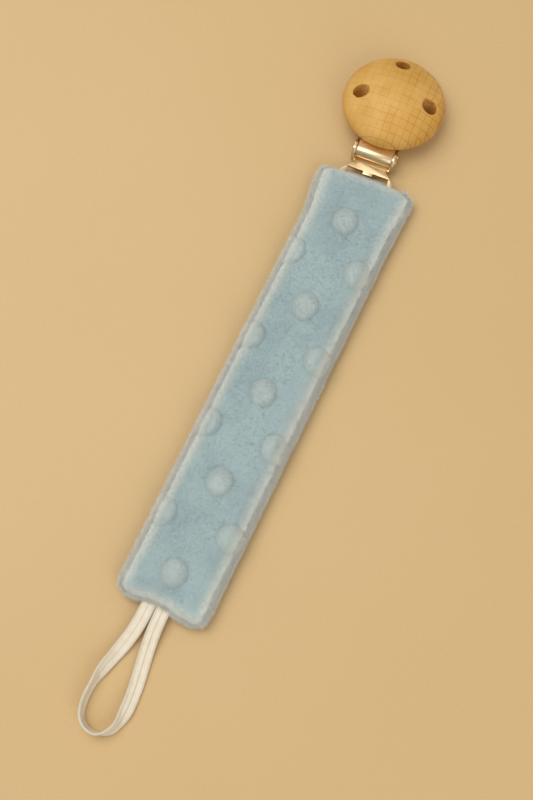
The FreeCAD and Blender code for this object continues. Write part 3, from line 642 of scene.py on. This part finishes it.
def inflate(piece, use):
    piece.modifiers.new("cloth", "CLOTH")
    cloth = piece.modifiers["cloth"]
    settings = cloth.settings
    for name, value in use["cloth"].items():
        setattr(settings, name, value)
    settings.effector_weights.gravity = 0
    cloth.point_cache.frame_start = 1
    cloth.point_cache.frame_end = use["lastFrame"]
    before = [vertex.co.copy() for vertex in piece.data.vertices]
    for moment in range(1, use["lastFrame"] + 1):
        scene.frame_set(moment)
    makeActive(piece)
    bpy.ops.object.modifier_apply(modifier="cloth")
    scene.frame_set(1)
    limit = use["cap"] * mm * use["simScale"]
    stillTo, freeFrom = use["stillRim"]
    furthest = 0.0
    for vertex, start in zip(piece.data.vertices, before):
        # the real seams hold the cloth's outline, so it only swells up and down
        move = vertex.co - start
        move.x = move.y = 0
        inside = edgeDistance(start.x / use["simScale"], start.y / use["simScale"], use)
        move.z *= easeBetween(stillTo * mm, freeFrom * mm, inside)
        furthest = max(furthest, move.length)
        if move.length > limit:
            move = move.normalized() * limit
        vertex.co = start + move
    print("strap swelled by up to %.2f mm" % (furthest / mm / use["simScale"]))


def bevelEdges(piece, offset, segments, wanted):
    # bevels the edges whose climb, the difference in height of their ends, is wanted
    makeActive(piece)
    bpy.ops.object.mode_set(mode="EDIT")
    bpy.ops.mesh.select_mode(type="EDGE")
    bpy.ops.mesh.select_all(action="DESELECT")
    bpy.ops.object.mode_set(mode="OBJECT")
    for edge in piece.data.edges:
        first, second = (piece.data.vertices[index].co.z for index in edge.vertices)
        edge.select = wanted(abs(first - second))
    bpy.ops.object.mode_set(mode="EDIT")
    bpy.ops.mesh.bevel(offset=offset, segments=segments, profile=0.5, affect="EDGES")
    bpy.ops.object.mode_set(mode="OBJECT")


def strapBag(use):
    grow = use["simScale"]
    wide = (backHigh.x - backLow.x) * use["sizeShare"] * grow
    long = (strapTop - strapEnd) * use["sizeShare"] * grow
    tall = 2 * seamHeight * use["heightShare"] * grow
    clearSelection()
    bpy.ops.mesh.primitive_cube_add(size=1, location=(0, 0, 0), scale=(wide, long, tall))
    bag = bpy.context.object
    bag.name = "strapBag"
    bpy.ops.object.transform_apply(location=True, rotation=True, scale=True)
    bevelEdges(bag, use["corner"] * mm * grow, 6, lambda climb: climb > tall / 2)
    bevelEdges(bag, use["edgeRound"] * mm * grow, 5, lambda climb: climb < tall / 10)
    applyModifier(bag, "REMESH", mode="VOXEL", voxel_size=use["voxel"] * mm * grow)
    inflate(bag, use)
    moved = Matrix.Translation((strapMiddle, (strapTop + strapEnd) / 2, seamHeight))
    bag.data.transform(moved @ Matrix.Scale(1 / grow, 4))
    applyModifier(bag, "SUBSURF", levels=2, render_levels=2)
    return bag


def shapeStrap(bag, use):
    # round rims, the flared upper end, the lower corners' reach and the lips round the clip's rail
    clipAcross = (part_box("clip_tab")[0].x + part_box("clip_tab")[1].x) / 2 - strapMiddle
    halfWide = (backHigh.x - backLow.x) / 2
    awayFromEdge = []
    for vertex in bag.data.vertices:
        place = vertex.co
        across = place.x - strapMiddle
        fromTop = strapTop - place.y
        fromEnd = place.y - strapEnd
        rise = place.z - seamHeight
        edge = edgeDistance(across, place.y - (strapTop + strapEnd) / 2, use)
        awayFromEdge.append(edge / mm)
        mouth = fadeOut(use["mouthBand"], abs(across - clipAcross))
        nearTop = fadeOut(use["topBand"], fromTop)
        reach = min(max(edge / (use["rimRoll"] * mm), 0), 1)
        pillow = max(math.sqrt(1 - (1 - reach) ** 2), use["rimHeight"], use["mouthFloor"] * mouth * nearTop)
        place.z = seamHeight + rise * pillow
        flare = use["topFlare"][across > 0] * fadeOut(use["flareBand"], fromTop)
        flare += use["endFlare"] * fadeOut(use["flareBand"], fromEnd)
        place.x += across / halfWide * flare * mm
        dip = fadeOut(use["dipBand"], abs(across - use["loopAcross"] * mm))
        nearEnd = fadeOut(use["endBand"], fromEnd)
        place.y -= (use["endReach"] - use["endDip"] * dip) * mm * nearEnd
        lipAcross = fadeOut(use["lipBand"], abs(across - clipAcross))
        lipRise = 1 - mouth * fadeOut(use["lipOpening"], abs(rise))
        place.y += use["lip"] * mm * nearTop * lipRise * (0.85 + 0.15 * lipAcross)
        place.y -= use["topSlant"] * max(use["slantFrom"] * mm - across, 0) * nearTop
    kept = bag.data.attributes.new("edgeAway", "FLOAT", "POINT")
    kept.data.foreach_set("value", awayFromEdge)


def dotDistance(place, centre, use):
    # 0 at the dot's middle and 1 at its rim
    across = (place.x - centre[0]) / (use["dotWidth"] / 2 * mm)
    return math.hypot(across, (place.y - centre[1]) / (use["dotLength"] / 2 * mm))


def raiseDots(piece, use):
    left, middle, right = use["dotRows"]
    marks = [(middle, number * use["dotPitch"]) for number in range(5)]
    marks += [(left, (number + 0.5) * use["dotPitch"]) for number in range(4)]
    marks += [(right, (number + 0.5) * use["dotPitch"] - use["rightRowUp"]) for number in range(4)]
    centres = []
    for across, along in marks:
        fromTop = (use["firstDot"] + along) * mm
        drift = use["dotDrift"] * fadeOut(use["driftBand"], fromTop)
        centres.append((strapMiddle + (across - drift) * mm, strapTop - fromTop))
    flatness, steepness = use["dotSwell"]
    for vertex in piece.data.vertices:
        if vertex.co.z < seamHeight + use["dotFrom"] * mm:
            continue
        for centre in centres:
            distance = dotDistance(vertex.co, centre, use)
            if distance < 1:
                vertex.co.z += (1 - distance ** flatness) ** steepness * use["dotRise"] * mm
                break
    return centres


def storePaintedLight(piece, centres, use):
    # painted light: 1 along the rims, where it stands in for light scattered through the fuzz, and a weaker
    # painted highlight on the dots' caps
    capEnd, paleEnd = use["dotPaintedLightBand"]
    edges = piece.data.attributes["edgeAway"]
    values = []
    for vertex, edge in zip(piece.data.vertices, edges.data):
        paintedLevel = 1 - easeBetween(-0.5, use["paintedRimReach"], edge.value)
        for centre in centres:
            distance = dotDistance(vertex.co, centre, use)
            if distance < paleEnd:
                paintedLevel = max(paintedLevel, use["dotPaintedLight"] * (1 - easeBetween(capEnd, paleEnd, distance)))
        values.append(paintedLevel)
    kept = piece.data.attributes.new("paintedLight", "FLOAT", "POINT")
    kept.data.foreach_set("value", values)


def roughen(piece, depth, size):
    # soft unevenness of the pile; the normals are read first, because each move makes them stale
    normals = [vertex.normal.copy() for vertex in piece.data.vertices]
    for vertex, normal in zip(piece.data.vertices, normals):
        wave = noise.noise(vertex.co / (size * mm))
        vertex.co += normal * wave * depth * mm
        vertex.co.z = max(vertex.co.z, tableGap)


def halfOf(bag, name, keepUpper):
    piece = bag.copy()
    piece.data = bag.data.copy()
    piece.name = name
    scene.collection.objects.link(piece)
    makeActive(piece)
    bpy.ops.object.mode_set(mode="EDIT")
    bpy.ops.mesh.select_all(action="SELECT")
    bpy.ops.mesh.bisect(plane_co=(strapMiddle, strapEnd, seamHeight), plane_no=(0, 0, 1), use_fill=True,
                        clear_inner=keepUpper, clear_outer=not keepUpper)
    bpy.ops.object.mode_set(mode="OBJECT")
    bpy.ops.object.shade_smooth_by_angle(angle=math.radians(50))
    return piece


def makeStrap(use):
    bag = strapBag(use)
    shapeStrap(bag, use)
    for depth, size in use["uneven"]:
        roughen(bag, depth, size)
    front = halfOf(bag, "strapFront", True)
    back = halfOf(bag, "strapBack", False)
    centres = raiseDots(front, use)
    storePaintedLight(front, centres, use)
    storePaintedLight(back, [], use)
    bpy.data.objects.remove(bag)
    for piece, node in ((front, "front_panel"), (back, "back_panel")):
        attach(piece, "strap")
        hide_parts(node)
        wear(piece, plushCloth)
        print(piece.name, len(piece.data.polygons), "faces")
    return front, back


strapFront, strapBack = makeStrap(strapSet)

# ---- pile: short fibres rooted in the cloth, thick along the strap's edges
pileSet = {
    "length": 0.8,
    "edgeLength": 1.5,
    "width": 0.12,
    "edgeCount": 26000,
    "faceCount": 14000,
    "edgeBand": 1.6,
    "lean": 0.35,
    "rootDepth": 0.08,
    "seed": 11,
}


def makePile(cloth, name, use):
    chance = random.Random(use["seed"])
    data = cloth.data
    edgeFaces, openFaces = [], []
    edges = [entry.value for entry in data.attributes["edgeAway"].data]
    shades = [entry.value for entry in data.attributes["paintedLight"].data]
    for face in data.polygons:
        if len(face.vertices) > 4:
            continue
        (edgeFaces if edges[face.vertices[0]] < use["edgeBand"] else openFaces).append(face)
    points, faces, paintedLight, facing = [], [], [], []
    for group, count, reach in ((edgeFaces, use["edgeCount"], use["edgeLength"]),
                                (openFaces, use["faceCount"], use["length"])):
        for _ in range(count):
            face = group[chance.randrange(len(group))]
            corners = [data.vertices[index].co for index in face.vertices]
            u, v = chance.random(), chance.random()
            root = corners[0].lerp(corners[1], u).lerp(corners[3 % len(corners)].lerp(corners[2], u), v)
            lean = Vector((chance.gauss(0, 1), chance.gauss(0, 1) - 0.5, chance.gauss(0, 1))) * use["lean"]
            growth = (face.normal + lean * 0.6).normalized()
            side = growth.orthogonal().normalized()
            side.rotate(Matrix.Rotation(chance.random() * 6.283, 3, growth))  # any turn
            other = growth.cross(side)
            length = reach * mm * (0.5 + 0.6 * chance.random())
            thick = use["width"] * mm / 2
            base = root - face.normal * use["rootDepth"] * mm
            first = len(points)
            points += [base + side * thick, base + (other * 0.87 - side * 0.5) * thick,
                       base - (other * 0.87 + side * 0.5) * thick, base + growth * length]
            points[-1].z = max(points[-1].z, 0.02 * mm)
            facing += [(face.normal * 0.6 + upward).normalized()] * 4
            # each fibre carries the cloth's painted light, a little varied
            paintedLight += [shades[face.vertices[0]] + chance.uniform(-0.2, 0.3)] * 4
            faces += [(first, first + 1, first + 3), (first + 1, first + 2, first + 3),
                      (first + 2, first, first + 3), (first, first + 2, first + 1)]
    mesh = bpy.data.meshes.new(name)
    mesh.from_pydata(points, [], faces)
    kept = mesh.attributes.new("paintedLight", "FLOAT", "POINT")
    kept.data.foreach_set("value", paintedLight)
    pile = bpy.data.objects.new(name, mesh)
    scene.collection.objects.link(pile)
    for face in mesh.polygons:
        face.use_smooth = True
    mesh.normals_split_custom_set_from_vertices(facing)  # fibres this fine take the light from above
    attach(pile, "strap")
    wear(pile, plushTipsLit)
    print(name, len(faces), "faces")


makePile(strapFront, "pileFront", pileSet)
makePile(strapBack, "pileBack", {**pileSet, "seed": 12})

# ---- metal, insert and what is inside the strap
metalSet = {"bevel": 0.13, "segments": 2, "creaseAngle": 32, "smoothAngle": 35}


def finishMetal(nodeName, pieceName, body, use):
    piece = copyNode(nodeName, pieceName)
    applyModifier(piece, "BEVEL", width=use["bevel"] * mm, segments=use["segments"], limit_method="ANGLE",
                  angle_limit=math.radians(use["creaseAngle"]), use_clamp_overlap=True)
    makeActive(piece)
    bpy.ops.object.shade_smooth_by_angle(angle=math.radians(use["smoothAngle"]))
    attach(piece, body)
    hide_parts(nodeName)
    wear(piece, nickelSteel)
    return piece


clipFrame = finishMetal("base_frame", "clipFrame", "clip", metalSet)
leverPlate = finishMetal("top_plate", "leverPlate", "lever", metalSet)
hingePin = finishMetal("hinge_pin", "hingePin", "clip", {**metalSet, "bevel": 0.1})

gripInsert = copyNode("grip_insert", "gripInsert")
applyModifier(gripInsert, "BEVEL", width=0.08 * mm, segments=metalSet["segments"], limit_method="ANGLE",
              angle_limit=math.radians(metalSet["smoothAngle"]))
bpy.ops.object.shade_smooth_by_angle(angle=math.radians(metalSet["smoothAngle"]))
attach(gripInsert, "clip")
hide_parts("grip_insert")
wear(gripInsert, insertPlastic)

hiddenParts = {
    "dome_rivets": nickelSteel,
    "clip_tab": wovenRibbon,
    "tab_stitches": sewingThread,
    "loop_stitches": sewingThread,
    "seam_threads": sewingThread,
    "padding": waddingFill,
    "elastic_tails": wovenElastic,
}
for nodeName, material in hiddenParts.items():
    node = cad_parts[nodeName]
    node.data.materials.clear()
    node.data.materials.append(material)
print("clip metal and small parts finished")

# ---- wooden dome: the CAD body remeshed finely, so that sanding softens its rims
domeSet = {"voxel": 0.26, "sanding": 8}


def makeDome(use):
    dome = copyNode("wood_dome", "woodDome")
    applyModifier(dome, "REMESH", mode="VOXEL", voxel_size=use["voxel"] * mm)
    applyModifier(dome, "SMOOTH", factor=0.5, iterations=use["sanding"])
    makeActive(dome)
    bpy.ops.object.shade_smooth()
    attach(dome, "lever")
    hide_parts("wood_dome")
    wear(dome, beechWood)
    print("dome", len(dome.data.polygons), "faces")


makeDome(domeSet)

# ---- table and light
studioSet = {
    "tableSize": 3.0,
    "keyPlace": (-0.34, 0.05, 0.80),
    "keySize": 0.65,
    "keyPower": 3.9,
    "fillPlace": (0.6, -0.5, 0.6),
    "fillSize": 0.7,
    "fillPower": 2.2,
    "skyLow": 0.26,
    "skyRise": 0.30,
}


def areaLight(name, place, size, power, colour):
    turn = Vector(place).to_track_quat("Z", "Y").to_euler()
    bpy.ops.object.light_add(type="AREA", location=place, rotation=turn)
    light = bpy.context.object
    light.name = name
    light.data.size = size
    light.data.energy = power
    light.data.color = colour


def makeStudio(use):
    clearSelection()
    bpy.ops.mesh.primitive_plane_add(size=use["tableSize"], location=(0, 0, 0))
    table = bpy.context.object
    table.name = "table"
    table.data.materials.append(tableFinish())
    areaLight("keyLight", use["keyPlace"], use["keySize"], use["keyPower"], (1.0, 0.98, 0.94))
    areaLight("fillLight", use["fillPlace"], use["fillSize"], use["fillPower"], (1.0, 0.98, 0.95))
    world = bpy.data.worlds.new("studioSky")
    scene.world = world
    world.use_nodes = True
    tree = world.node_tree
    background = tree.nodes["Background"]
    background.inputs["Color"].default_value = (1.0, 0.97, 0.92, 1)
    source = tree.nodes.new("ShaderNodeTexCoord")
    parts = tree.nodes.new("ShaderNodeSeparateXYZ")
    tree.links.new(source.outputs["Generated"], parts.inputs["Vector"])
    fade = tree.nodes.new("ShaderNodeMath")
    fade.operation = "MULTIPLY_ADD"
    tree.links.new(parts.outputs["Z"], fade.inputs[0])
    fade.inputs[1].default_value = use["skyRise"]
    fade.inputs[2].default_value = use["skyLow"]
    tree.links.new(fade.outputs[0], background.inputs["Strength"])


makeStudio(studioSet)
print("table and lights placed")
